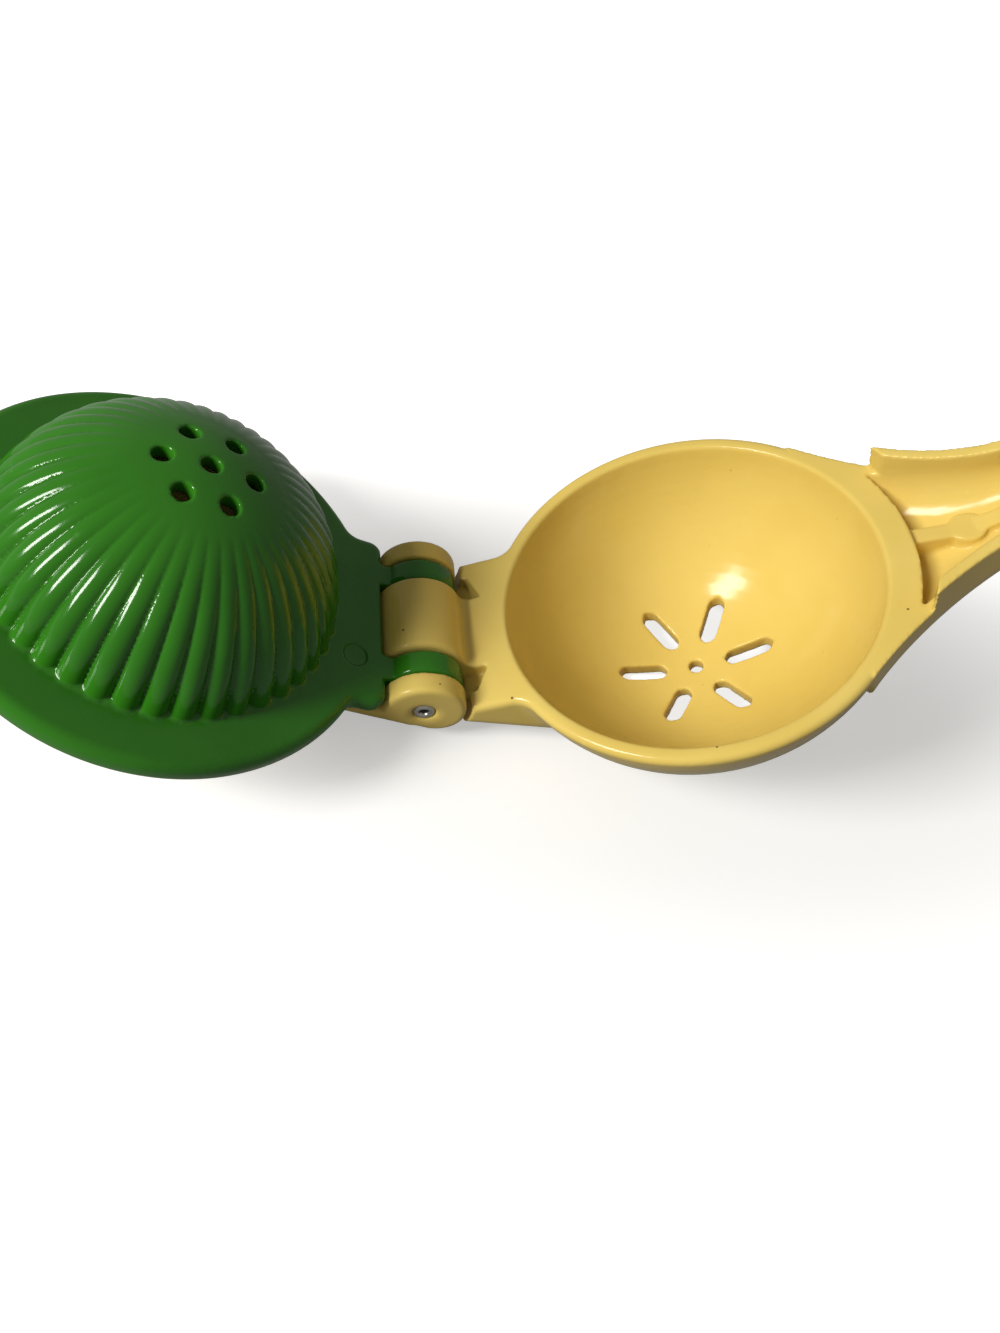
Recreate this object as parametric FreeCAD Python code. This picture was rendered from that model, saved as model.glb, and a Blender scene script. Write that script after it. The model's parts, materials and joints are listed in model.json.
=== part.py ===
import FreeCAD, Part
import math
import os
from FreeCAD import Vector, Placement, Rotation

# Hinged citrus squeezer for lemons and limes: a bowl lever, a lime insert and a
# press lever that turn on one tubular rivet. Every casting is drawn closed, with
# the hinge axis on Y through the origin, X towards the bowl and Z up, and is then
# swung to the open pose in which the squeezer lies on a table. Millimetres.

# Lemon bowl
bowl_rim_radius = 35.0
bowl_depth = 30.4
bowl_wall = 3.2
rim_inner_round = 0.7
rim_outer_round = 1.3
hinge_over_rim = 2.7
slot_count = 6
slot_ring_radius = 11.1
slot_length = 10.0
slot_width = 3.5
slot_turn = 0.0
centre_drain_radius = 1.5

# Hinge knuckles, from the middle outwards, and the rivet
barrel_radius = 8.8
barrel_half_length = 8.5
ear_radius = 8.0
ear_width = 5.2
lug_radius = 8.3
lug_width = 4.4
knuckle_gap = 0.3
pin_radius = 2.2
pin_hollow_radius = 0.95
pin_running_clearance = 0.06
pin_sink = 0.3
dimple_radius = 3.6
dimple_depth = 0.6
knuckle_round = 1.0

# Neck between the barrel and the bowl
neck_half_width = 18.3
neck_start = 4.0
neck_end_depth = 4.4
neck_underside_angle = 31.0
neck_bury = 20.0
neck_lower_round = 3.0
neck_flare_radius = 4.5
lug_recess_gap = 1.0
ear_recess_gap = 0.9
ear_pocket_reach = 12.9
ear_pocket_slim_reach = 10.3
ear_pocket_depth = 2.6
barrel_fillet = 2.0

# Lime insert: its flange reaches past the bowl's rim and stops short of the hinge
flange_overlap = 6.8
flange_to_hinge = 10.6
flange_thickness = 4.8
flange_round = 1.9
seat_gap = 0.3
dome_rim_gap = 2.0
dome_height = 25.9
insert_wall = 3.1
rib_count = 36
groove_radius = 1.9
groove_depth = 1.0
groove_fade_radius = 15.0
drain_hole_radius = 1.9
drain_ring_radius = 7.7
drain_ring_holes = 6
plate_half_width = 20.0
plate_edge_gap = 0.9
plate_hook = 0.6
ear_strap_reach = 6.0
plate_corner = 3.0
plate_flare_radius = 3.5
gate_mark_radius = 2.5
gate_mark_depth = 0.3
gate_mark_x = 15.4
gate_mark_y = -10.4

# Press lever
press_flange_inset = 2.8
press_flange_thickness = 3.4
press_flange_round = 1.0
arm_thickness = 2.3
arm_back_length = 20.0
arm_ramp_length = 8.0
lug_back_round = 5.5
press_dome_radius = 26.0
press_dome_height = 23.6
press_wall = 3.0
arm_flare_radius = 6.0

# Handles, alike on both levers
handle_wall = 2.3
handle_floor = 2.6
root_half_width = 27.8
waist_half_width = 8.6
grip_half_width = 9.4
root_depth = 16.0
press_root_depth = 3.4
grip_depth = 11.0
tab_thickness = 5.0
handle_start = 26.0
taper_length = 40.0
handle_reach = 142.0
tab_length = 16.0
thinning_length = 55.0
corner_round = 6.0
channel_round = 8.0
wall_step = 5.4
handle_bend_radius = 63.0
handle_bend_start = 39.5
handle_rise = 20.0
press_bend_radius = 50.0
press_bend_start = 30.0
wall_seat_clearance = 0.4
crescent_radius = 40.4
channel_end_margin = 9.0
hang_hole_radius = 3.0
rib_half_width = 1.6
rib_height = 1.3
rib_root_drop = 1.3
ejector_pad_radius = 3.2
ejector_pad_rise = 0.3
ejector_pad_x = 50.0

# How far the insert and the press lever stand open in the stored pose
opening_angle = 134.4

flange_radius = bowl_rim_radius + flange_overlap
hinge_to_bowl = flange_radius + flange_to_hinge
dome_base_radius = bowl_rim_radius - dome_rim_gap
press_flange_radius = flange_radius - press_flange_inset
rim_z = -hinge_over_rim
bowl_inner_radius = (bowl_rim_radius ** 2 + bowl_depth ** 2) / (2 * bowl_depth)
bowl_outer_radius = bowl_inner_radius + bowl_wall
bowl_centre = Vector(hinge_to_bowl, 0, rim_z - bowl_depth + bowl_inner_radius)
rim_outer_radius = math.sqrt(bowl_outer_radius ** 2 - (bowl_centre.z - rim_z) ** 2)
ear_inner = barrel_half_length + knuckle_gap
ear_outer = ear_inner + ear_width
lug_inner = ear_outer + knuckle_gap
lug_outer = lug_inner + lug_width
flange_low = rim_z + seat_gap
flange_high = flange_low + flange_thickness
dome_radius = (dome_base_radius ** 2 + dome_height ** 2) / (2 * dome_height)
dome_centre = Vector(hinge_to_bowl, 0, flange_low - dome_height + dome_radius)
cup_radius = dome_radius - insert_wall
press_low = flange_high + seat_gap
press_high = press_low + press_flange_thickness
arm_back = press_low + arm_thickness
seat_radius = flange_radius + wall_seat_clearance
far = 400.0
open_margin = 0.5
fillet_sink = 0.02


def cylinder_y(radius, low, high, x=0.0, z=0.0):
    """Cylinder along Y between two Y values."""
    return Part.makeCylinder(radius, high - low, Vector(x, low, z), Vector(0, 1, 0))


def cylinder_z(radius, low, high, x=0.0, y=0.0):
    """Cylinder along Z between two heights."""
    return Part.makeCylinder(radius, high - low, Vector(x, y, low), Vector(0, 0, 1))


def block(low, high):
    """Box between two corners."""
    size = [high[i] - low[i] for i in range(3)]
    return Part.makeBox(size[0], size[1], size[2], Vector(*low))


def both_sides(shape):
    """The shape and its mirror image across the middle plane."""
    return [shape, shape.mirror(Vector(0, 0, 0), Vector(0, 1, 0))]


def tidy(shape):
    """One clean solid after a row of booleans."""
    shape = shape.removeSplitter()
    solids = shape.Solids
    return solids[0] if len(solids) == 1 else shape


def flared_plate(half_width, start_x, disc_radius, flare_radius, low, high):
    """Neck plate that runs along X and flares with tangent arcs into a disc at the bowl."""
    reach = disc_radius + flare_radius
    across = half_width + flare_radius
    run = math.sqrt(reach ** 2 - across ** 2)
    centre = Vector(hinge_to_bowl - run, across, low)
    line_end = Vector(centre.x, half_width, low)
    scale = disc_radius / reach
    disc_end = Vector(hinge_to_bowl - run * scale, across * scale, low)
    angle = 0.5 * (math.atan2(disc_end.y - centre.y, disc_end.x - centre.x) - math.pi / 2)
    middle = Vector(centre.x + flare_radius * math.cos(angle), centre.y + flare_radius * math.sin(angle), low)

    def mirrored(point):
        return Vector(point.x, -point.y, point.z)

    start = Vector(start_x, half_width, low)
    edges = [
        Part.LineSegment(mirrored(start), start).toShape(),
        Part.LineSegment(start, line_end).toShape(),
        Part.Arc(line_end, middle, disc_end).toShape(),
        Part.LineSegment(disc_end, mirrored(disc_end)).toShape(),
        Part.Arc(mirrored(disc_end), mirrored(middle), mirrored(line_end)).toShape(),
        Part.LineSegment(mirrored(line_end), mirrored(start)).toShape(),
    ]
    return Part.Face(Part.Wire(edges)).extrude(Vector(0, 0, high - low))


def side_profile(points, half_width):
    """Outline in the XZ plane extruded symmetrically across Y."""
    wire = Part.makePolygon([Vector(x, -half_width, z) for x, z in points + points[:1]])
    return Part.Face(wire).extrude(Vector(0, 2 * half_width, 0))


def bend_height(x, start, radius, angle):
    """Height gained along a tangent arc and the straight run after it."""
    turn = math.radians(angle)
    run = x - start
    if run <= 0:
        return 0.0
    if run < radius * math.sin(turn):
        return radius - math.sqrt(radius ** 2 - run ** 2)
    return radius * (1 - math.cos(turn)) + (run - radius * math.sin(turn)) * math.tan(turn)


def taper_share(x):
    """Parabola that is 1 at the root of a handle and 0 from the waist on."""
    return (1 - min(1.0, (x - handle_start) / taper_length)) ** 2


def handle_half_width(x):
    waist = waist_half_width + (root_half_width - waist_half_width) * taper_share(x)
    grip = max(0.0, (x - handle_start - taper_length) / (handle_reach - handle_start - taper_length))
    return waist + (grip_half_width - waist_half_width) * grip


def channel_section(x, edge_z, floor_z, half_width, round_radius):
    """Closed section across a handle, flat at its open edge and rounded at its floor."""
    side = 1 if floor_z > edge_z else -1
    r = min(round_radius, 0.8 * abs(floor_z - edge_z), 0.8 * half_width)
    slant = r * (1 - math.sqrt(0.5))
    knee = floor_z - side * r
    points = [
        Vector(x, -half_width, edge_z),
        Vector(x, -half_width, knee),
        Vector(x, -half_width + slant, floor_z - side * slant),
        Vector(x, -half_width + r, floor_z),
        Vector(x, half_width - r, floor_z),
        Vector(x, half_width - slant, floor_z - side * slant),
        Vector(x, half_width, knee),
        Vector(x, half_width, edge_z),
    ]
    edges = [
        Part.LineSegment(points[0], points[1]).toShape(),
        Part.Arc(points[1], points[2], points[3]).toShape(),
        Part.LineSegment(points[3], points[4]).toShape(),
        Part.Arc(points[4], points[5], points[6]).toShape(),
        Part.LineSegment(points[6], points[7]).toShape(),
        Part.LineSegment(points[7], points[0]).toShape(),
    ]
    return Part.Wire(edges)


def stations():
    """Places of the sections along a handle, close together where it tapers."""
    waist = handle_start + taper_length
    taper = [handle_start + taper_length * i / 5 for i in range(5)]
    return taper + [waist + (handle_reach - waist) * i / 6 for i in range(7)]


def handle_depth(x, first):
    """Depth of the handle from its open edge: root, grip, then thin at the hanging tab."""
    share = min(1.0, (x - handle_start) / taper_length)
    depth = first + (grip_depth - first) * share
    last = max(0.0, 1 - (handle_reach - x) / thinning_length)
    return depth + (tab_thickness - depth) * last * last * (3 - 2 * last)


def outward(solid):
    """A lofted solid with its faces turned outwards, whichever way its sections ran."""
    if solid.Volume < 0:
        solid.reverse()
    return solid


def handle_blank(edge, first_depth, side):
    """Outer body of a handle, lofted from its root to the hanging tab."""
    wires = []
    for x in stations():
        floor = edge(x) + side * handle_depth(x, first_depth)
        wires.append(channel_section(hinge_to_bowl + x, edge(x), floor, handle_half_width(x), corner_round))
    return outward(Part.makeLoft(wires, True, False))


def channel_floor(x, edge, first_depth, side):
    return edge(x) + side * (handle_depth(x, first_depth) - handle_floor)


def handle_channel(edge, first_depth, side, start):
    """Hollow of a handle, open past its edge, from a start place to short of the tab."""
    end = handle_reach - channel_end_margin
    wires = []
    for x in [start] + [x for x in stations() if start + 2 < x < end - 2] + [end]:
        floor = channel_floor(x, edge, first_depth, side)
        half = handle_half_width(x) - handle_wall
        open_z = edge(x) - side * open_margin
        wires.append(channel_section(hinge_to_bowl + x, open_z, floor, half, channel_round))
    return outward(Part.makeLoft(wires, True, False))


def handle_tab(edge, rise, side):
    """Flat tab with a round end that closes a handle, in line with its straight run."""
    half = grip_half_width
    thick = tab_thickness * math.cos(math.radians(rise))
    low = 0.0 if side > 0 else -thick
    body = block((-1.5, -half, low), (tab_length - half, half, low + thick))
    end = cylinder_z(half, low, low + thick, tab_length - half)
    tab = body.fuse(end)
    tab.rotate(Vector(0, 0, 0), Vector(0, 1, 0), -rise)
    tab.translate(Vector(hinge_to_bowl + handle_reach, 0, edge(handle_reach)))
    return tab


def bowl_edge(x):
    return rim_z + wall_step + bend_height(x, handle_bend_start, handle_bend_radius, handle_rise)


def press_edge(x, rise):
    return press_low + bend_height(x, press_bend_start, press_bend_radius, rise)


def table_tilt():
    """Tilt at which the bowl's round bottom and the hinge barrel both touch the table."""
    reach = math.hypot(bowl_centre.x, bowl_centre.z)
    drop = bowl_outer_radius - barrel_radius
    return math.degrees(math.asin(drop / reach) - math.atan2(bowl_centre.z, bowl_centre.x))


def press_end_height(rise):
    """Height over the table of the back edge of the press handle's end, in the open pose."""
    turn = math.radians(opening_angle + table_tilt())
    slope = math.radians(rise)
    x = hinge_to_bowl + handle_reach
    z = press_edge(handle_reach, rise)
    back = Vector(x - tab_thickness * math.cos(slope) * math.sin(slope), 0, z + tab_thickness * math.cos(slope) ** 2)
    tip = back + Vector(tab_length * math.cos(slope), 0, tab_length * math.sin(slope))
    return barrel_radius + tip.x * math.sin(turn) + tip.z * math.cos(turn)


def solve_press_rise():
    """Rise of the press handle at which its end lies on the table."""
    low, high = 5.0, 50.0
    for step in range(40):
        middle = 0.5 * (low + high)
        if press_end_height(middle) > 0:
            low = middle
        else:
            high = middle
    return high


def spherical_cap(centre, radius, top):
    """Ball cut off flat at a height."""
    ball = Part.makeSphere(radius, centre)
    return ball.common(block((centre.x - far, -far, centre.z - far), (centre.x + far, far, top)))


def rounded_cylinder(radius, low, high, round_radius, ends):
    """Knuckle of the hinge on the axis, with rounded rims at the named ends."""
    body = cylinder_y(radius, low, high)
    flat = [e for e in body.Edges if e.BoundBox.YLength < 1e-6]
    rims = [e for e in flat if any(abs(e.BoundBox.YMin - y) < 1e-6 for y in ends)]
    return body.makeFillet(round_radius, rims)


def rounded_plate(plate, corner_x, corner_radius, edge_radius):
    """Neck plate and disc in one: rounds its two front corners, then its whole perimeter."""
    corners = [e for e in plate.Edges if abs(e.BoundBox.XMax - corner_x) < 1e-3 and e.BoundBox.YLength < 1e-3]
    plate = plate.makeFillet(corner_radius, corners)
    flat = [e for e in plate.Edges if e.BoundBox.ZLength < 1e-3]
    return plate.makeFillet(edge_radius, flat)


def bowl_slot(angle):
    """Oval drain slot, cut down through the bottom of the bowl."""
    low = bowl_centre.z - bowl_outer_radius - 1
    centre = Vector(slot_ring_radius, 0, low)
    oval = Part.Ellipse(centre, slot_length / 2, slot_width / 2).toShape()
    slot = Part.Face(Part.Wire([oval])).extrude(Vector(0, 0, bowl_depth))
    slot.rotate(Vector(0, 0, 0), Vector(0, 0, 1), angle)
    slot.translate(Vector(hinge_to_bowl, 0, 0))
    return slot


def drained_bowl_void():
    """Everything cut out of the bowl: its hollow, the ring of slots and the centre drain."""
    hollow = Part.makeSphere(bowl_inner_radius, bowl_centre)
    hollow = hollow.common(block((0, -far, -far), (far, far, rim_z)))
    tools = [hollow]
    tools += [bowl_slot(slot_turn + 360.0 * i / slot_count) for i in range(slot_count)]
    tools.append(cylinder_z(centre_drain_radius, bowl_centre.z - bowl_outer_radius - 1, rim_z, hinge_to_bowl))
    return tools


def bowl_outside():
    """Outer body of the bowl with its neck: the neck deepens from the hinge and flares into the bowl."""
    slope = math.tan(math.radians(neck_underside_angle))
    end = hinge_to_bowl - neck_bury
    points = [
        (neck_start, rim_z),
        (end, rim_z),
        (end, rim_z - neck_end_depth - slope * (end - neck_start)),
        (neck_start, rim_z - neck_end_depth),
    ]
    beam = side_profile(points, neck_half_width)
    lower = [e for e in beam.Edges if e.BoundBox.YLength < 1e-6 and e.BoundBox.ZMax < rim_z and e.BoundBox.XLength > 1]
    beam = beam.makeFillet(neck_lower_round, lower)
    body = tidy(spherical_cap(bowl_centre, bowl_outer_radius, rim_z).fuse(beam))
    joint = [e for e in body.Edges if is_neck_joint(e)]
    body = body.makeFillet(neck_flare_radius, joint)
    top = [e for e in body.Edges if e.BoundBox.ZMin > rim_z - 1e-3 and e.BoundBox.XMax > neck_start + 1]
    return body.makeFillet(rim_outer_round, top)


def is_neck_joint(edge):
    """Whether an edge lies where the neck's sides or underside run into the round of the bowl."""
    middle = edge.valueAt(0.5 * (edge.FirstParameter + edge.LastParameter))
    on_ball = abs(middle.distanceToPoint(bowl_centre) - bowl_outer_radius) < 1e-3
    return on_ball and middle.z < rim_z - 1e-3 and middle.x < hinge_to_bowl - neck_bury


def neck_recesses():
    """Room in the neck for the lugs and the ears, with a shallow pocket behind each ear."""
    lug_side = lug_inner - knuckle_gap
    lug_room = cylinder_y(lug_radius + lug_recess_gap, lug_side, far)
    ear_room = cylinder_y(ear_radius + ear_recess_gap, barrel_half_length, lug_side)
    length = lug_side - barrel_half_length
    wide = math.hypot(ear_pocket_reach, rim_z)
    slim = math.hypot(ear_pocket_slim_reach, rim_z)
    pocket = Part.makeCone(wide, slim, length, Vector(0, barrel_half_length, 0), Vector(0, 1, 0))
    pocket = pocket.common(block((0, 0, rim_z - ear_pocket_depth), (far, far, far)))
    tools = both_sides(lug_room) + both_sides(ear_room) + both_sides(pocket)
    return tools


def barrel_root():
    """Concave fillet where the top of the neck rises into the barrel."""
    reach = barrel_radius + barrel_fillet
    centre_z = rim_z + barrel_fillet
    centre_x = math.sqrt(reach ** 2 - centre_z ** 2)
    touch_z = centre_z * barrel_radius / reach
    half = barrel_half_length
    fill = block((0.7 * barrel_radius, -half, rim_z - open_margin), (centre_x, half, touch_z))
    return fill.cut(cylinder_y(barrel_fillet, -far, far, centre_x, centre_z - fillet_sink))


def handle_rib():
    """Rib along the middle of the channel with the round pad left by the casting's ejector."""
    def floor(x):
        return channel_floor(x, bowl_edge, root_depth, -1)

    end = handle_reach - channel_end_margin + 1
    top = [(crescent_radius - 1, rim_z - rib_root_drop), (ejector_pad_x, floor(ejector_pad_x) + 1.4 * rib_height)]
    top += [(x, floor(x) + rib_height) for x in stations() if ejector_pad_x + 4 < x < end]
    top.append((end, floor(end) + rib_height))
    bottom = [(x, floor(x) - 0.5 * handle_floor) for x, z in reversed(top)]
    points = [(hinge_to_bowl + x, z) for x, z in top + bottom]
    rib = side_profile(points, rib_half_width)
    pad_top = floor(ejector_pad_x) + 1.4 * rib_height + ejector_pad_rise
    pad = cylinder_z(ejector_pad_radius, pad_top - 4, pad_top, hinge_to_bowl + ejector_pad_x)
    return [rib, pad]


def make_bowl_lever():
    """Yellow casting: barrel, neck, drained bowl and lower handle in one."""
    blank = handle_blank(bowl_edge, root_depth, -1)
    seat = cylinder_z(seat_radius, rim_z, rim_z + far, hinge_to_bowl)
    channel = handle_channel(bowl_edge, root_depth, -1, crescent_radius - 12)
    channel = channel.cut(cylinder_z(crescent_radius, -far, far, hinge_to_bowl))
    handle = blank.cut([seat, channel]).fuse(handle_rib()).fuse(handle_tab(bowl_edge, handle_rise, -1))
    body = bowl_outside().fuse(handle)
    body = body.cut(neck_recesses())
    barrel = rounded_cylinder(barrel_radius, -barrel_half_length, barrel_half_length, knuckle_round,
                              (-barrel_half_length, barrel_half_length))
    root = barrel_radius + barrel_fillet
    tongue = side_profile([(0, rim_z), (root, rim_z), (root, -barrel_radius), (0, -barrel_radius)], barrel_half_length)
    body = body.fuse([tongue, barrel, barrel_root()])
    body = body.cut(drained_bowl_void() + [cylinder_y(pin_radius, -far, far), hanging_hole()])
    body = tidy(body)
    rim = [e for e in body.Edges if is_inner_rim(e)]
    return body.makeFillet(rim_inner_round, rim)


def is_inner_rim(edge):
    """Whether an edge is the bowl's inner rim circle."""
    middle = edge.valueAt(0.5 * (edge.FirstParameter + edge.LastParameter))
    reach = math.hypot(middle.x - hinge_to_bowl, middle.y)
    return abs(middle.z - rim_z) < 1e-3 and abs(reach - bowl_rim_radius) < 1e-3


def hanging_hole():
    """Hole for a hook through the tab at the end of the lower handle."""
    hole = cylinder_z(hang_hole_radius, -2 * tab_thickness, 2 * tab_thickness, tab_length - grip_half_width)
    hole.rotate(Vector(0, 0, 0), Vector(0, 1, 0), -handle_rise)
    hole.translate(Vector(hinge_to_bowl + handle_reach, 0, bowl_edge(handle_reach)))
    return hole


def dome_grooves():
    """Cutters for the grooves between the ribs: deepest at the base, fading towards the top."""
    base_cos = (dome_radius - dome_height) / dome_radius
    fade_cos = math.sqrt(1 - (groove_fade_radius / dome_radius) ** 2)
    drop = groove_depth / (fade_cos - base_cos)
    ring_radius = dome_radius + groove_radius - fade_cos * drop
    centre = Vector(0, 0, dome_centre.z - drop)
    ring = Part.makeTorus(ring_radius, groove_radius, centre, Vector(0, 1, 0))
    keep = block((0.7 * groove_fade_radius, -far, dome_centre.z - 2 * dome_radius), (far, far, flange_low))
    groove = ring.common(keep)
    cutters = []
    for i in range(rib_count):
        cutter = groove.copy()
        cutter.rotate(Vector(0, 0, 0), Vector(0, 0, 1), 360.0 * (i + 0.5) / rib_count)
        cutter.translate(Vector(hinge_to_bowl, 0, 0))
        cutters.append(cutter)
    return cutters


def insert_drains():
    """Juice holes in the top of the dome: one in the middle and a ring round it."""
    low = dome_centre.z - dome_radius - 1
    holes = [cylinder_z(drain_hole_radius, low, low + dome_height / 2, hinge_to_bowl)]
    for i in range(drain_ring_holes):
        angle = 2 * math.pi * i / drain_ring_holes
        x = hinge_to_bowl + drain_ring_radius * math.cos(angle)
        y = drain_ring_radius * math.sin(angle)
        holes.append(cylinder_z(drain_hole_radius, low, low + dome_height / 2, x, y))
    return holes


def insert_plate():
    """Flange and neck plate of the insert, cut round the barrel and the lugs."""
    start = lug_radius + plate_edge_gap - plate_hook
    flare = flared_plate(plate_half_width, start, flange_radius, plate_flare_radius, flange_low, flange_high)
    disc = cylinder_z(flange_radius, flange_low, flange_high, hinge_to_bowl)
    plate = flare.fuse(disc).removeSplitter()
    plate = rounded_plate(plate, start, plate_corner, flange_round)
    barrel_room = cylinder_y(barrel_radius + plate_edge_gap, -ear_inner, ear_inner)
    lug_room = both_sides(cylinder_y(lug_radius + plate_edge_gap, ear_outer, far))
    return plate.cut([barrel_room] + lug_room)


def insert_ear():
    """One ear of the insert: the eye on the rivet and the strap to the plate."""
    eye = rounded_cylinder(ear_radius, ear_inner, ear_outer, knuckle_round, (ear_inner, ear_outer))
    strap = block((0, ear_inner, flange_low), (lug_radius + ear_strap_reach, ear_outer, flange_high))
    return eye.fuse(strap)


def make_lime_insert():
    """Green casting: ribbed dome with drains, wide flange, neck plate and two ears."""
    dome = spherical_cap(dome_centre, dome_radius, flange_low)
    grooves = dome_grooves()
    for batch in range(3):
        dome = dome.cut(grooves[batch::3])
    body = insert_plate().fuse(both_sides(insert_ear()))
    body = body.fuse(dome)
    cup = Part.makeSphere(cup_radius, dome_centre)
    mark = cylinder_z(gate_mark_radius, flange_low, flange_low + gate_mark_depth, gate_mark_x, gate_mark_y)
    bore = cylinder_y(pin_radius + pin_running_clearance, -far, far)
    body = body.cut([cup, mark, bore] + insert_drains())
    return tidy(body)


def press_lug():
    """Outer lug of the press lever, trimmed flush with the arm's back, and the dimple round its rivet."""
    lug = cylinder_y(lug_radius, lug_inner, lug_outer)
    lug = lug.cut(block((-far, -far, arm_back), (far, far, far)))
    corner = [e for e in lug.Edges if e.BoundBox.XMax < 0 and e.BoundBox.YLength > 1]
    lug = lug.makeFillet(lug_back_round, corner)
    rims = [e for e in lug.Edges if e.BoundBox.YMin > lug_outer - 1e-6]
    lug = lug.makeFillet(knuckle_round, rims)
    dent_radius = (dimple_radius ** 2 + dimple_depth ** 2) / (2 * dimple_depth)
    return lug, Part.makeSphere(dent_radius, Vector(0, lug_outer - dimple_depth + dent_radius, 0))


def press_plate():
    """Flange of the press lever with its two arms, which thin towards the lugs."""
    arms = flared_plate(lug_outer, 0, press_flange_radius, arm_flare_radius, press_low, press_high)
    disc = cylinder_z(press_flange_radius, press_low, press_high, hinge_to_bowl)
    plate = arms.fuse(disc).removeSplitter()
    outline = [e for e in plate.Edges if e.BoundBox.ZLength < 1e-3 and e.BoundBox.XMax > 1]
    plate = plate.makeFillet(press_flange_round, outline)
    room = block((-far, -lug_inner, -far), (lug_radius + plate_edge_gap + press_flange_round, lug_inner, far))
    ramp_end = arm_back_length + arm_ramp_length
    back = [(-arm_back_length, arm_back), (arm_back_length, arm_back), (ramp_end, press_high),
            (ramp_end, press_high + 1), (-arm_back_length, press_high + 1)]
    return plate.cut([room, side_profile(back, far)])


def make_press_lever(rise):
    """Yellow casting: lugs, arms, flange with a hollow pressing dome, and upper handle."""
    def edge(x):
        return press_edge(x, rise)

    blank = handle_blank(edge, press_root_depth, 1)
    channel = handle_channel(edge, press_root_depth, 1, press_flange_radius + handle_wall)
    handle = blank.cut(channel).fuse(handle_tab(edge, rise, 1))
    dome_z = press_low - press_dome_height + press_dome_radius
    centre = Vector(hinge_to_bowl, 0, dome_z)
    dome = spherical_cap(centre, press_dome_radius, press_low)
    lug, dent = press_lug()
    body = press_plate().fuse([handle, dome] + both_sides(lug))
    hollow = Part.makeSphere(press_dome_radius - press_wall, centre)
    bore = cylinder_y(pin_radius + pin_running_clearance, -far, far)
    body = body.cut([hollow, bore] + both_sides(dent))
    return tidy(body)


def make_hinge_pin():
    """Tubular steel rivet through all five knuckles, its ends just inside the dimples."""
    half = lug_outer - pin_sink
    return cylinder_y(pin_radius, -half, half).cut(cylinder_y(pin_hollow_radius, -half, half))


def settle(shape, opening):
    """Swings a casting open about the hinge, then tilts it with the lever on the table."""
    shape = shape.copy()
    shape.rotate(Vector(0, 0, 0), Vector(0, 1, 0), -(opening + table_tilt()))
    shape.translate(Vector(0, 0, barrel_radius))
    return shape


def main():
    rise = solve_press_rise()
    pieces = {
        "bowl_lever": settle(make_bowl_lever(), 0),
        "hinge_pin": settle(make_hinge_pin(), 0),
        "lime_insert": settle(make_lime_insert(), opening_angle),
        "press_lever": settle(make_press_lever(rise), opening_angle),
    }
    box = Part.makeCompound(list(pieces.values())).optimalBoundingBox(False, False)
    shift = Vector(-0.5 * (box.XMin + box.XMax), 0, 0)
    os.makedirs("parts", exist_ok=True)
    for name, shape in pieces.items():
        shape.translate(shift)
        shape.exportStep("parts/" + name + ".step")
        print(name, "solids", len(shape.Solids), "valid", shape.isValid(), "cm3", round(shape.Volume / 1000, 2))
    print("tilt", round(table_tilt(), 3), "press rise", round(rise, 3), "hinge x", round(shift.x, 4))
    print("box", box)


main()
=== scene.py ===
"""A hinged lemon squeezer, open in a V: yellow bowl lever, green fluted lime insert, yellow press lever."""
import json
import math

import bmesh
import bpy
from mathutils import Matrix, Vector

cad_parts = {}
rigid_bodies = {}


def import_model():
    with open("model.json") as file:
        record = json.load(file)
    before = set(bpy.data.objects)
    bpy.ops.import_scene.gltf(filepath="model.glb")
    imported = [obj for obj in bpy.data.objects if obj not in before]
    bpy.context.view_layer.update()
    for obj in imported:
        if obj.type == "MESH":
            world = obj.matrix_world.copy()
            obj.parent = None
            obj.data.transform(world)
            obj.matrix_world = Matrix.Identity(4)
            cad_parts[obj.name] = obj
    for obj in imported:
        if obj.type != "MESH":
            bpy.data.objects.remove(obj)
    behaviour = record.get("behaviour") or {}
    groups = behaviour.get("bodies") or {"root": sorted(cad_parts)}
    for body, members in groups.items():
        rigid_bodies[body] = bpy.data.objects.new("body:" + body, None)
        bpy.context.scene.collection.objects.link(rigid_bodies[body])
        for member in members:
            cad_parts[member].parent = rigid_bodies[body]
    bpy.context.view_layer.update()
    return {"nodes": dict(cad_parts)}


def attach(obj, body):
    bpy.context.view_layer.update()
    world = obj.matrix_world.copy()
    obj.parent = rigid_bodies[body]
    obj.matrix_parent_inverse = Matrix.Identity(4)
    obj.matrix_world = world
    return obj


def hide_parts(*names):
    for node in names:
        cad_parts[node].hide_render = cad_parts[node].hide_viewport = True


for leftover in list(bpy.data.objects):
    bpy.data.objects.remove(leftover)

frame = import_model()

MM = 0.001
HINGE = Vector((28.434, 0.0, 8.8)) * MM
HINGE_TO_BOWL = 52.4
TILT = math.radians(32.098)
OPENING = math.radians(134.4)
ACROSS_TOOL = Vector((0, 1, 0))


# Shader nodes

def add_node(tree, kind, **values):
    node = tree.nodes.new(kind)
    for key, value in values.items():
        setattr(node, key, value)
    return node


def feed(tree, value, socket):
    """Links a socket to a node's input, or sets the input to a plain value."""
    if isinstance(value, bpy.types.NodeSocket):
        tree.links.new(value, socket)
    else:
        socket.default_value = value


def noise(tree, place, scale, detail=2.0):
    texture = add_node(tree, "ShaderNodeTexNoise")
    texture.inputs["Scale"].default_value = scale
    texture.inputs["Detail"].default_value = detail
    tree.links.new(place, texture.inputs["Vector"])
    return texture.outputs["Fac"]


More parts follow.
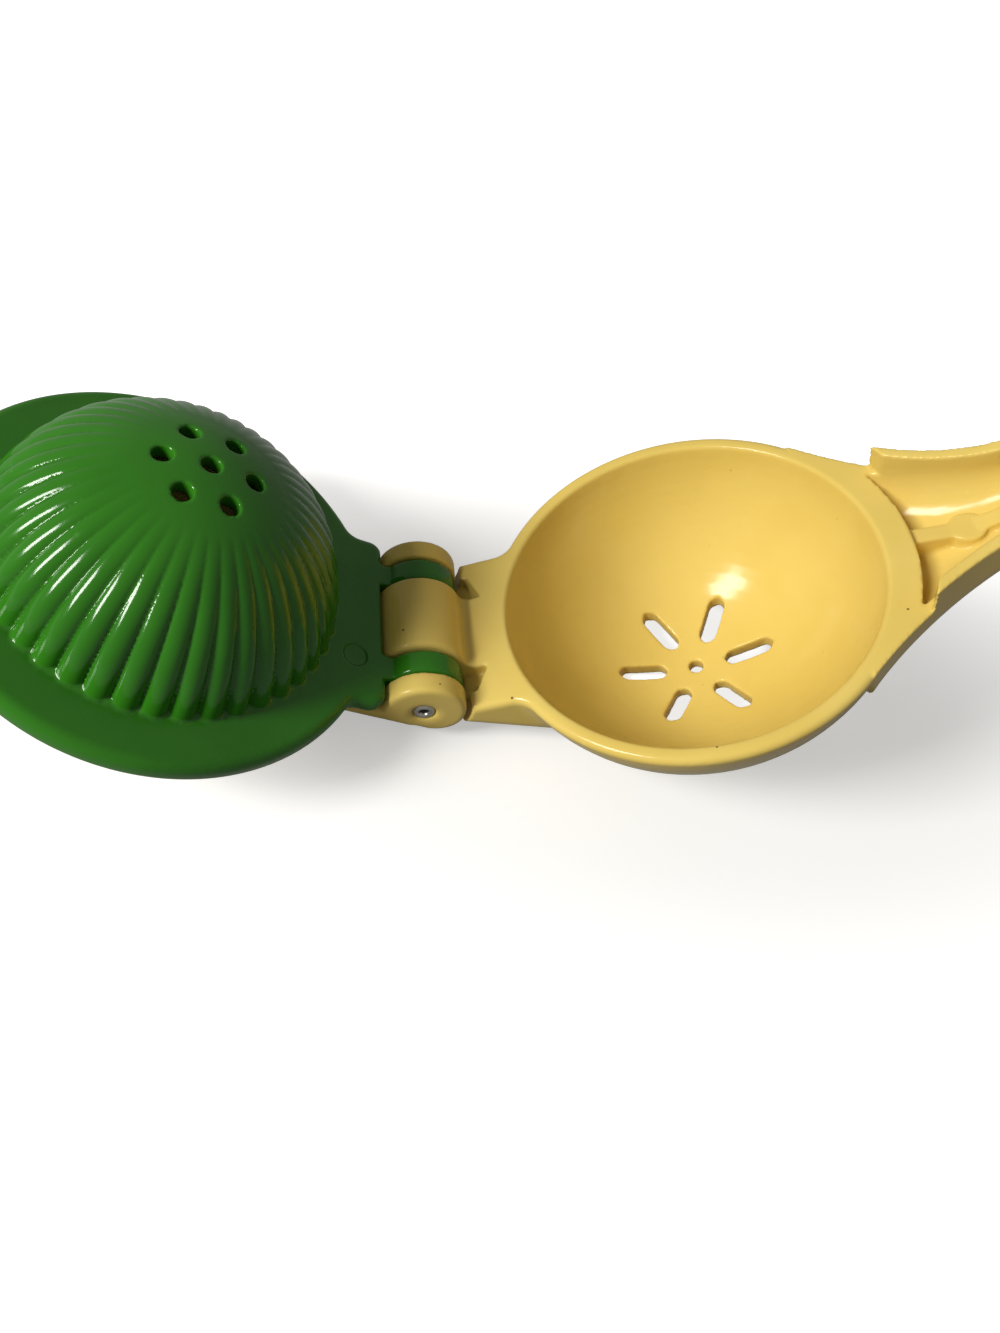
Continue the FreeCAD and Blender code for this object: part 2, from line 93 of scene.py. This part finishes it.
def reckon(tree, operation, *terms):
    sum_node = add_node(tree, "ShaderNodeMath", operation=operation)
    for term, socket in zip(terms, sum_node.inputs):
        feed(tree, term, socket)
    return sum_node.outputs["Value"]


def distance(tree, place, point):
    away = add_node(tree, "ShaderNodeVectorMath", operation="DISTANCE")
    tree.links.new(place, away.inputs[0])
    away.inputs[1].default_value = point
    return away.outputs["Value"]


def fade(tree, amount, start=0.0, end=1.0, low=0.0, high=1.0, soft=False):
    """From low to high while the amount goes from start to end, and level outside."""
    fading = add_node(tree, "ShaderNodeMapRange", interpolation_type="SMOOTHSTEP" if soft else "LINEAR")
    fading.inputs["From Min"].default_value = start
    fading.inputs["From Max"].default_value = end
    fading.inputs["To Min"].default_value = low
    fading.inputs["To Max"].default_value = high
    tree.links.new(amount, fading.inputs["Value"])
    return fading.outputs["Result"]


def ramp(tree, amount, first, second):
    """Two stops, each a position and a colour."""
    colours = add_node(tree, "ShaderNodeValToRGB")
    for stop, (position, colour) in zip(colours.color_ramp.elements, (first, second)):
        stop.position = position
        stop.color = colour
    tree.links.new(amount, colours.inputs["Fac"])
    return colours.outputs["Color"]


def blend(tree, share, colour, other):
    mix = add_node(tree, "ShaderNodeMix", data_type="RGBA")
    tree.links.new(share, mix.inputs["Factor"])
    feed(tree, colour, mix.inputs["A"])
    feed(tree, other, mix.inputs["B"])
    return mix.outputs["Result"]


def relief(tree, height, strength, depth, normal=None):
    bump = add_node(tree, "ShaderNodeBump")
    bump.inputs["Strength"].default_value = strength
    bump.inputs["Distance"].default_value = depth
    tree.links.new(height, bump.inputs["Height"])
    if normal is not None:
        tree.links.new(normal, bump.inputs["Normal"])
    return bump.outputs["Normal"]


def new_finish(name):
    """A material with one shader, and the place on the object that its patterns read."""
    material = bpy.data.materials.new(name)
    material.use_nodes = True
    tree = material.node_tree
    tree.nodes.clear()
    output = add_node(tree, "ShaderNodeOutputMaterial")
    shader = add_node(tree, "ShaderNodeBsdfPrincipled")
    tree.links.new(shader.outputs["BSDF"], output.inputs["Surface"])
    place = add_node(tree, "ShaderNodeTexCoord").outputs["Object"]
    return material, tree, shader, place


# Enamel

WHITE = (1, 1, 1, 1)
BLACK = (0, 0, 0, 1)
CHIP_BROWN = (0.10, 0.055, 0.016, 1)
ENAMEL_IOR = 1.46


def fine_specks(tree, place, colour, deep):
    """Dark dust under the enamel, in patches."""
    grain = add_node(tree, "ShaderNodeTexVoronoi")
    grain.inputs["Scale"].default_value = 260.0
    tree.links.new(place, grain.inputs["Vector"])
    speck = ramp(tree, grain.outputs["Distance"], (0.045, WHITE), (0.07, BLACK))
    patches = fade(tree, noise(tree, place, scale=90.0), start=0.6, end=0.66)
    share = reckon(tree, "MULTIPLY", speck, patches)
    faint = reckon(tree, "MULTIPLY", share, 0.35)
    return blend(tree, faint, colour, tuple(0.25 * part for part in deep[:3]) + (1,))


def chips(tree, place, colour, blemishes):
    """Small ragged chips, each (x, y, z, radius) in millimetres."""
    ragged = noise(tree, place, scale=2600.0)
    for x, y, z, radius in blemishes:
        away = distance(tree, place, (x * MM, y * MM, z * MM))
        uneven = reckon(tree, "MULTIPLY_ADD", ragged, 0.9 * radius * MM, away)
        inside = fade(tree, uneven, start=1.45 * radius * MM, end=1.15 * radius * MM, high=0.85)
        colour = blend(tree, inside, colour, CHIP_BROWN)
    return colour


def thin_edges_and_painted_corner_shade(tree, colour, deep, pale):
    """Paler on edges, partly where the coat is thin and partly a painted sheen; darker in corners and
    creases, which is painted shade.
    """
    pointiness = add_node(tree, "ShaderNodeNewGeometry").outputs["Pointiness"]
    # partly painted sheen: convex edges turn paler, partly for the thin coat and partly for the highlight
    # that lies along them
    edge = fade(tree, pointiness, start=0.56, end=0.66, high=0.5)
    # painted shade: concave corners and creases are darkened where shade gathers
    corner = fade(tree, pointiness, start=0.485, end=0.42, high=0.55)
    red, green_part, blue, alpha = deep
    # the colour of the painted shade in corners
    painted_corner_shade = (0.62 * red, 0.52 * green_part, 0.3 * blue, alpha)
    return blend(tree, corner, blend(tree, edge, colour, pale), painted_corner_shade)


def coat_relief(tree, place, marks):
    """Orange peel, faint sags, and round moulding marks, each (x, y, z, radius) in millimetres."""
    peel = noise(tree, place, scale=420.0)
    normal = relief(tree, peel, strength=0.02, depth=0.3 * MM)
    sag = noise(tree, place, scale=70.0)
    normal = relief(tree, sag, strength=0.12, depth=0.6 * MM, normal=normal)
    for x, y, z, radius in marks:
        away = distance(tree, place, (x * MM, y * MM, z * MM))
        wall = fade(tree, away, start=(radius - 0.25) * MM, end=(radius + 0.1) * MM, soft=True)
        normal = relief(tree, wall, strength=1.0, depth=0.22 * MM, normal=normal)
    return normal


def enamel(name, body, deep, pale, roughness, shine, blemishes=(), marks=()):
    """A cast surface under a thick glossy coat, its colour drifting between deep and body."""
    material, tree, shader, place = new_finish(name)
    drift = noise(tree, place, scale=38.0, detail=3.0)
    colour = ramp(tree, drift, (0.35, deep), (0.62, body))
    colour = fine_specks(tree, place, colour, deep)
    colour = chips(tree, place, colour, blemishes)
    # painted shade in corners, and edges paler partly for a thin coat and partly as a painted sheen
    colour = thin_edges_and_painted_corner_shade(tree, colour, deep, pale)
    tree.links.new(colour, shader.inputs["Base Color"])
    haze = noise(tree, place, scale=55.0, detail=5.0)
    tree.links.new(fade(tree, haze, low=roughness - 0.04, high=roughness + 0.05), shader.inputs["Roughness"])
    tree.links.new(coat_relief(tree, place, marks), shader.inputs["Normal"])
    shader.inputs["IOR"].default_value = ENAMEL_IOR
    shader.inputs["Specular IOR Level"].default_value = shine
    return material


CHIPS = [
    (23.17, -4.32, 15.82, 0.28),
    (29.48, -16.84, 17.01, 0.22),
    (44.14, -17.34, 15.35, 0.32),
    (103.74, -16.05, 52.85, 0.25),
    (73.01, -35.35, 33.42, 0.25),
]
GATE_MARK = (14.02, -10.4, 14.73, 2.5)


def lemon_enamel():
    return enamel("lemon_yellow_enamel", body=(0.77, 0.575, 0.147, 1), deep=(0.73, 0.53, 0.12, 1),
                  pale=(0.82, 0.65, 0.24, 1), roughness=0.16, shine=0.24, blemishes=CHIPS)


def lime_enamel():
    return enamel("lime_green_enamel", body=(0.030, 0.185, 0.009, 1), deep=(0.022, 0.150, 0.006, 1),
                  pale=(0.05, 0.24, 0.02, 1), roughness=0.13, shine=0.36, marks=[GATE_MARK])


def rivet_steel():
    """Rolled steel, finely marked."""
    material, tree, shader, place = new_finish("rolled_rivet_steel")
    rolled = noise(tree, place, scale=900.0, detail=4.0)
    tone = ramp(tree, rolled, (0.0, (0.32, 0.31, 0.29, 1)), (1.0, (0.66, 0.65, 0.62, 1)))
    tree.links.new(tone, shader.inputs["Base Color"])
    tree.links.new(fade(tree, rolled, low=0.22, high=0.5), shader.inputs["Roughness"])
    tree.links.new(relief(tree, rolled, strength=0.2, depth=0.1 * MM), shader.inputs["Normal"])
    shader.inputs["Metallic"].default_value = 1.0
    return material


# How a casting is made

CAD_MERGE = 0.001 * MM
SMOOTHING = 0.5


def evaluated_mesh(piece):
    """Puts the mesh that the modifiers make in the place of the first one."""
    shown = piece.evaluated_get(bpy.context.evaluated_depsgraph_get())
    finished = bpy.data.meshes.new_from_object(shown)
    piece.modifiers.clear()
    piece.data = finished


def merged_copy(node):
    """The casting's own surface, its loose triangles joined."""
    shape = bmesh.new()
    shape.from_mesh(frame["nodes"][node].data)
    bmesh.ops.remove_doubles(shape, verts=shape.verts, dist=CAD_MERGE)
    return shape


def new_piece(shape, name):
    mesh = bpy.data.meshes.new(name)
    shape.to_mesh(mesh)
    shape.free()
    piece = bpy.data.objects.new(name, mesh)
    bpy.context.scene.collection.objects.link(piece)
    return piece


def cut_away(piece, cutters):
    """The piece without what the cutters cover."""
    cutter = new_piece(cutters, "cutter")
    cut = piece.modifiers.new("cut", "BOOLEAN")
    cut.operation = "DIFFERENCE"
    cut.solver = "EXACT"
    cut.object = cutter
    evaluated_mesh(piece)
    bpy.data.objects.remove(cutter)


def smooth(piece, name, passes):
    smoothing = piece.modifiers.new(name, "SMOOTH")
    smoothing.factor = SMOOTHING
    smoothing.iterations = passes


def cast_skin(piece, voxel, passes):
    """Softens every arris, as the mould and the enamel do, and keeps the plain faces true."""
    pattern = bpy.data.objects.new("pattern", piece.data.copy())
    bpy.context.scene.collection.objects.link(pattern)
    remesh = piece.modifiers.new("mould", "REMESH")
    remesh.mode = "VOXEL"
    remesh.voxel_size = voxel * MM
    smooth(piece, "first_smoothing", 2)
    true_faces = piece.modifiers.new("true_faces", "SHRINKWRAP")
    true_faces.wrap_method = "NEAREST_SURFACEPOINT"
    true_faces.target = pattern
    smooth(piece, "enamel_flow", passes)
    evaluated_mesh(piece)
    bpy.data.objects.remove(pattern)


def thin_out(piece, triangles):
    """Fewer triangles where the surface is plain."""
    count = sum(len(face.vertices) - 2 for face in piece.data.polygons)
    if count > triangles:
        fewer = piece.modifiers.new("fewer", "DECIMATE")
        fewer.ratio = triangles / count
        evaluated_mesh(piece)


def dress(piece, node, body, material):
    """Smooth shading, its finish, and its place in the frame."""
    for face in piece.data.polygons:
        face.use_smooth = True
    piece.data.materials.clear()
    piece.data.materials.append(material)
    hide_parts(node)
    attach(piece, body)


# Bowl lever

ALONG_BOWL = Vector((math.cos(TILT), 0.0, math.sin(TILT)))
BOWL_UP = Vector((-math.sin(TILT), 0.0, math.cos(TILT)))
BOWL_MIDDLE = HINGE + HINGE_TO_BOWL * MM * ALONG_BOWL
SLOTS = 6
SLOT_RING = 11.1 * MM
SLOT_LENGTH = 9.5 * MM
SLOT_WIDTH = 3.4 * MM
SLOT_END_POINTS = 16
CUTTER_DROP = 40 * MM
CUTTER_HEIGHT = 20 * MM


def slot_outline(along, across):
    """Points round a slot with half-round ends, about its own middle."""
    straight = (SLOT_LENGTH - SLOT_WIDTH) / 2
    points = []
    for end in (1, -1):
        for step in range(SLOT_END_POINTS):
            turn = math.pi * step / (SLOT_END_POINTS - 1) - math.pi / 2
            place = end * (straight + SLOT_WIDTH / 2 * math.cos(turn)) * along
            points.append(place + end * SLOT_WIDTH / 2 * math.sin(turn) * across)
    return points


def slot_cutters():
    """Six slots down through the bottom of the bowl, like the petals of a flower."""
    cutters = bmesh.new()
    for petal in range(SLOTS):
        bearing = 2 * math.pi * petal / SLOTS
        along = math.cos(bearing) * ALONG_BOWL + math.sin(bearing) * ACROSS_TOOL
        middle = BOWL_MIDDLE + SLOT_RING * along - CUTTER_DROP * BOWL_UP
        outline = slot_outline(along, BOWL_UP.cross(along))
        base = cutters.faces.new([cutters.verts.new(middle + point) for point in outline])
        raised = bmesh.ops.extrude_face_region(cutters, geom=[base])["geom"]
        tops = [part for part in raised if isinstance(part, bmesh.types.BMVert)]
        bmesh.ops.translate(cutters, verts=tops, vec=CUTTER_HEIGHT * BOWL_UP)
    bmesh.ops.recalc_face_normals(cutters, faces=cutters.faces)
    return cutters


def bowl_lever_casting(finish):
    bowl = new_piece(merged_copy("bowl_lever"), "bowl_lever_casting")
    cut_away(bowl, slot_cutters())
    cast_skin(bowl, voxel=0.36, passes=5)
    thin_out(bowl, triangles=195000)
    dress(bowl, "bowl_lever", "bowl_lever", finish)


# Press lever

def press_lever_casting(finish):
    press = new_piece(merged_copy("press_lever"), "press_lever_casting")
    cast_skin(press, voxel=0.45, passes=5)
    thin_out(press, triangles=190000)
    dress(press, "press_lever", "press_lever", finish)


# Lime insert

DOME_AXIS = Vector((math.sin(TILT + OPENING), 0.0, -math.cos(TILT + OPENING)))
DOME_SIDE = Vector((DOME_AXIS.z, 0.0, -DOME_AXIS.x))
DOME_CENTRE = Vector((-23.84, 0.0, 15.52)) * MM
DOME_RADIUS = 33.97 * MM
FLANGE_LEVEL = 8.07 * MM
RIBS = 42
RIB_TURN = math.radians(2.9)
VALLEY_DEPTH = 1.35 * MM
FADE_START = 12.0 * MM
FADE_END = 31.0 * MM
LOBE_ROUND = 0.8
JUICE_HOLES = 6
JUICE_HOLE = 1.7 * MM
JUICE_RING = 7.7 * MM
SUNK_RADIUS = 32.0 * MM
SUNK_FROM = 31.6 * MM
SKIN_INSIDE = 31.4 * MM
SKIN_FOOT = 1.8 * MM
SKIN_STEPS = 60
STEPS_PER_RIB = 10
SKIN_MERGE = 0.002 * MM
RIB_BAND_MIDDLE = 33.4 * MM
RIB_BAND_HALF = 1.0 * MM


def valley(turn):
    """0 on the crest of a rib and 1 in the sharp valley between two."""
    share = ((turn + RIB_TURN) * RIBS / (2 * math.pi)) % 1.0
    off_crest = min(share, 1.0 - share) * 2
    return (1 - math.sqrt(1 - LOBE_ROUND * off_crest ** 2)) / (1 - math.sqrt(1 - LOBE_ROUND))


def ribbed_radius(flat):
    """How far the dome's outside stands from its centre, at a place given square to its axis."""
    shown = min(1.0, max(0.0, (flat.length - FADE_START) / (FADE_END - FADE_START)))
    turn = math.atan2(flat.y, flat.dot(DOME_SIDE))
    return DOME_RADIUS - VALLEY_DEPTH * shown * (0.4 + 0.6 * shown) * valley(turn)


def sink_dome(shape):
    """Takes the plain outside of the dome down, to make room for the ribbed skin."""
    lowest_level = FLANGE_LEVEL + 0.05 * MM
    highest = DOME_RADIUS + 0.4 * MM
    for vertex in shape.verts:
        arm = vertex.co - DOME_CENTRE
        if arm.dot(DOME_AXIS) > lowest_level and SUNK_FROM < arm.length < highest:
            vertex.co = DOME_CENTRE + arm * (min(arm.length, SUNK_RADIUS) / arm.length)


def skin_profile():
    """The shell's outside from crown to foot, then its inside from foot to crown."""
    foot = FLANGE_LEVEL - SKIN_FOOT
    places = []
    for radius, order in ((DOME_RADIUS, range(SKIN_STEPS + 1)), (SKIN_INSIDE, range(SKIN_STEPS, -1, -1))):
        lowest = math.acos(foot / radius)
        for step in order:
            slope = lowest * step / SKIN_STEPS
            place = DOME_CENTRE + radius * (math.cos(slope) * DOME_AXIS + math.sin(slope) * DOME_SIDE)
            places.append(place)
    return places


def ribbed_skin():
    """Closed shell over the dome: ribbed outside, plain inside, its foot sunk into the flange."""
    skin = bmesh.new()
    points = [skin.verts.new(place) for place in skin_profile()]
    edges = [skin.edges.new(pair) for pair in zip(points, points[1:])]
    bmesh.ops.spin(skin, geom=points + edges, cent=DOME_CENTRE, axis=DOME_AXIS, angle=2 * math.pi,
                   steps=RIBS * STEPS_PER_RIB, use_merge=True)
    bmesh.ops.remove_doubles(skin, verts=skin.verts, dist=SKIN_MERGE)
    for vertex in skin.verts:
        arm = vertex.co - DOME_CENTRE
        if arm.length > DOME_RADIUS - 0.1 * MM:
            flat = arm - arm.dot(DOME_AXIS) * DOME_AXIS
            vertex.co = DOME_CENTRE + arm * (ribbed_radius(flat) / arm.length)
    bmesh.ops.recalc_face_normals(skin, faces=skin.faces)
    return skin


def juice_cutters():
    """Six juice holes round one on the dome's axis."""
    cutters = bmesh.new()
    upright = DOME_AXIS.to_track_quat("Z", "Y").to_matrix()
    for hole in range(JUICE_HOLES + 1):
        bearing = 2 * math.pi * hole / JUICE_HOLES
        aside = math.cos(bearing) * DOME_SIDE + math.sin(bearing) * ACROSS_TOOL
        off_axis = JUICE_RING if hole < JUICE_HOLES else 0.0
        place = DOME_CENTRE + SUNK_RADIUS * DOME_AXIS + off_axis * aside
        drill = bmesh.ops.create_cone(cutters, cap_ends=True, segments=32, radius1=JUICE_HOLE,
                                      radius2=JUICE_HOLE, depth=CUTTER_HEIGHT)["verts"]
        bmesh.ops.rotate(cutters, verts=drill, cent=(0, 0, 0), matrix=upright)
        bmesh.ops.translate(cutters, verts=drill, vec=place)
    return cutters


def sharpen_ribs(piece):
    """Brings the valleys back after the smoothing, and leaves the foot and the juice holes soft."""
    shape = bmesh.new()
    shape.from_mesh(piece.data)
    for vertex in shape.verts:
        arm = vertex.co - DOME_CENTRE
        level = arm.dot(DOME_AXIS)
        flat = arm - level * DOME_AXIS
        on_dome = level > FLANGE_LEVEL + 0.5 * MM and flat.length > FADE_START
        if on_dome and abs(arm.length - RIB_BAND_MIDDLE) < RIB_BAND_HALF:
            vertex.co = DOME_CENTRE + arm * (ribbed_radius(flat) / arm.length)
    shape.to_mesh(piece.data)
    shape.free()


def lime_insert_casting(finish):
    skin = new_piece(ribbed_skin(), "ribbed_skin")
    cut_away(skin, juice_cutters())
    both = merged_copy("lime_insert")
    sink_dome(both)
    both.from_mesh(skin.data)
    bpy.data.objects.remove(skin)
    insert = new_piece(both, "lime_insert_casting")
    cast_skin(insert, voxel=0.36, passes=4)
    sharpen_ribs(insert)
    thin_out(insert, triangles=195000)
    dress(insert, "lime_insert", "lime_insert", finish)


# Rivet

RIVET_END = [
    (0.95, 17.6),
    (1.0, 18.05),
    (1.2, 18.32),
    (1.5, 18.4),
    (1.85, 18.34),
    (2.08, 18.12),
    (2.2, 17.7),
]
RIVET_STEPS = 72


def tubular_rivet(finish):
    """Tubular rivet through the knuckles, its ends rolled to a rounded lip."""
    outline = [(radius, -along) for radius, along in reversed(RIVET_END)] + RIVET_END
    shape = bmesh.new()
    points = [shape.verts.new((HINGE.x + radius * MM, along * MM, HINGE.z)) for radius, along in outline]
    edges = [shape.edges.new(pair) for pair in zip(points, points[1:] + points[:1])]
    bmesh.ops.spin(shape, geom=points + edges, cent=HINGE, axis=ACROSS_TOOL, angle=2 * math.pi,
                   steps=RIVET_STEPS, use_merge=True)
    bmesh.ops.recalc_face_normals(shape, faces=shape.faces)
    rivet = new_piece(shape, "hinge_rivet")
    dress(rivet, "hinge_pin", "bowl_lever", finish)


# Table and room

FLOOR_MIRRORED = 0.15
ROOM_MIRRORED = 0.18
SHADOW_MIDDLE = (0.036, -0.01, 0)
SHADOW_STRETCH = (0.45, 1, 1)
# middle of the painted pool of light under the bowl's slots
UNDER_SLOTS = (0.0965, 0.0075, 0)


def seen_share(tree, mirrored):
    """1 for what the camera sees, the given share for what is mirrored, 0 for light on the object."""
    path = add_node(tree, "ShaderNodeLightPath")
    in_gloss = reckon(tree, "MULTIPLY", path.outputs["Is Glossy Ray"], mirrored)
    direct = reckon(tree, "ADD", in_gloss, path.outputs["Is Camera Ray"])
    return reckon(tree, "ADD", direct, path.outputs["Is Transmission Ray"])


def painted_floor_glow(tree):
    """Painted light on the floor: a glow that is whiter away from the object, so the floor stays dimmer
    round the object's shadow, and a painted pool of light under the slots of the bowl.
    """
    place = add_node(tree, "ShaderNodeTexCoord").outputs["Object"]
    flattened = add_node(tree, "ShaderNodeVectorMath", operation="MULTIPLY")
    tree.links.new(place, flattened.inputs[0])
    flattened.inputs[1].default_value = SHADOW_STRETCH
    away = distance(tree, flattened.outputs["Vector"], SHADOW_MIDDLE)
    # painted light: the glow grows away from the object and is weakest round its shadow
    painted_glow_away_from_object = fade(tree, away, start=0.03, end=0.095, low=0.42, high=0.80, soft=True)
    under = distance(tree, place, UNDER_SLOTS)
    # painted pool of light on the floor under the bowl's slots
    painted_light_under_slots = fade(tree, under, start=0.025, end=0.018, high=0.32, soft=True)
    return reckon(tree, "ADD", painted_glow_away_from_object, painted_light_under_slots)


def floor_paper():
    """White where it is seen, and duller where it only lights the object."""
    material = bpy.data.materials.new("white_table")
    material.use_nodes = True
    tree = material.node_tree
    tree.nodes.clear()
    output = add_node(tree, "ShaderNodeOutputMaterial")
    seen = seen_share(tree, FLOOR_MIRRORED)
    paper = add_node(tree, "ShaderNodeBsdfDiffuse")
    tree.links.new(blend(tree, seen, (0.25, 0.25, 0.25, 1), (0.82, 0.82, 0.82, 1)), paper.inputs["Color"])
    glow = add_node(tree, "ShaderNodeEmission")
    glow.inputs["Color"].default_value = WHITE
    # the glow's strength carries painted light on the floor
    tree.links.new(reckon(tree, "MULTIPLY", painted_floor_glow(tree), seen), glow.inputs["Strength"])
    both = add_node(tree, "ShaderNodeAddShader")
    tree.links.new(paper.outputs["BSDF"], both.inputs[0])
    tree.links.new(glow.outputs["Emission"], both.inputs[1])
    tree.links.new(both.outputs["Shader"], output.inputs["Surface"])
    return material


def white_table():
    plan = bmesh.new()
    bmesh.ops.create_grid(plan, x_segments=1, y_segments=1, size=1.6)
    table = new_piece(plan, "white_table")
    table.data.materials.append(floor_paper())


def pale_room():
    """White where it is seen, a dim warm light otherwise."""
    world = bpy.data.worlds.new("pale_room")
    bpy.context.scene.world = world
    world.use_nodes = True
    tree = world.node_tree
    light = tree.nodes["Background"]
    seen = seen_share(tree, ROOM_MIRRORED)
    tree.links.new(fade(tree, seen, low=0.20, high=1.0), light.inputs["Strength"])
    tree.links.new(blend(tree, seen, (1.0, 0.97, 0.90, 1), WHITE), light.inputs["Color"])


def window_light():
    """One soft window, on the left."""
    light = bpy.data.lights.new("window_light", "AREA")
    light.shape = "RECTANGLE"
    light.size = 0.30
    light.size_y = 0.46
    light.energy = 15.5
    light.color = (1.0, 0.985, 0.95)
    lamp = bpy.data.objects.new("window_light", light)
    place = Vector((-0.97, -0.31, 0.59))
    aim = Vector((0.03, 0, 0.03))
    lamp.location = place
    lamp.rotation_euler = (aim - place).to_track_quat("-Z", "Y").to_euler()
    bpy.context.scene.collection.objects.link(lamp)


# Camera

PHOTO_WIDTH = 1000.0
PHOTO_HEIGHT = 1333.0
FOCAL_PIXELS = 950.73
LENS_AXIS_X = 396.23
LENS_AXIS_Y = 658.72
CAMERA_RIGHT = Vector((0.97374, -0.0355, 0.2249))
CAMERA_UP = Vector((-0.09886, 0.8239, 0.55808))
CAMERA_PLACE = Vector((-15.32, -113.0, 159.48))


def photo_camera():
    """Stands where the photographer's camera stood."""
    camera = bpy.data.objects.new("photo_camera", bpy.data.cameras.new("photo_camera"))
    bpy.context.scene.collection.objects.link(camera)
    right = CAMERA_RIGHT.normalized()
    back = right.cross(CAMERA_UP.normalized()).normalized()
    up = back.cross(right).normalized()
    pose = Matrix((right, up, back)).transposed().to_4x4()
    pose.translation = CAMERA_PLACE * MM
    camera.matrix_world = pose
    camera.data.sensor_width = 36.0
    camera.data.lens = FOCAL_PIXELS / PHOTO_HEIGHT * camera.data.sensor_width
    camera.data.shift_x = (PHOTO_WIDTH / 2 - LENS_AXIS_X) / PHOTO_HEIGHT
    camera.data.shift_y = (LENS_AXIS_Y - PHOTO_HEIGHT / 2) / PHOTO_HEIGHT
    camera.data.clip_start = 0.005
    bpy.context.scene.camera = camera


yellow = lemon_enamel()
bowl_lever_casting(yellow)
press_lever_casting(yellow)
lime_insert_casting(lime_enamel())
tubular_rivet(rivet_steel())
white_table()
pale_room()
window_light()
photo_camera()
bpy.context.scene.view_settings.view_transform = "Standard"
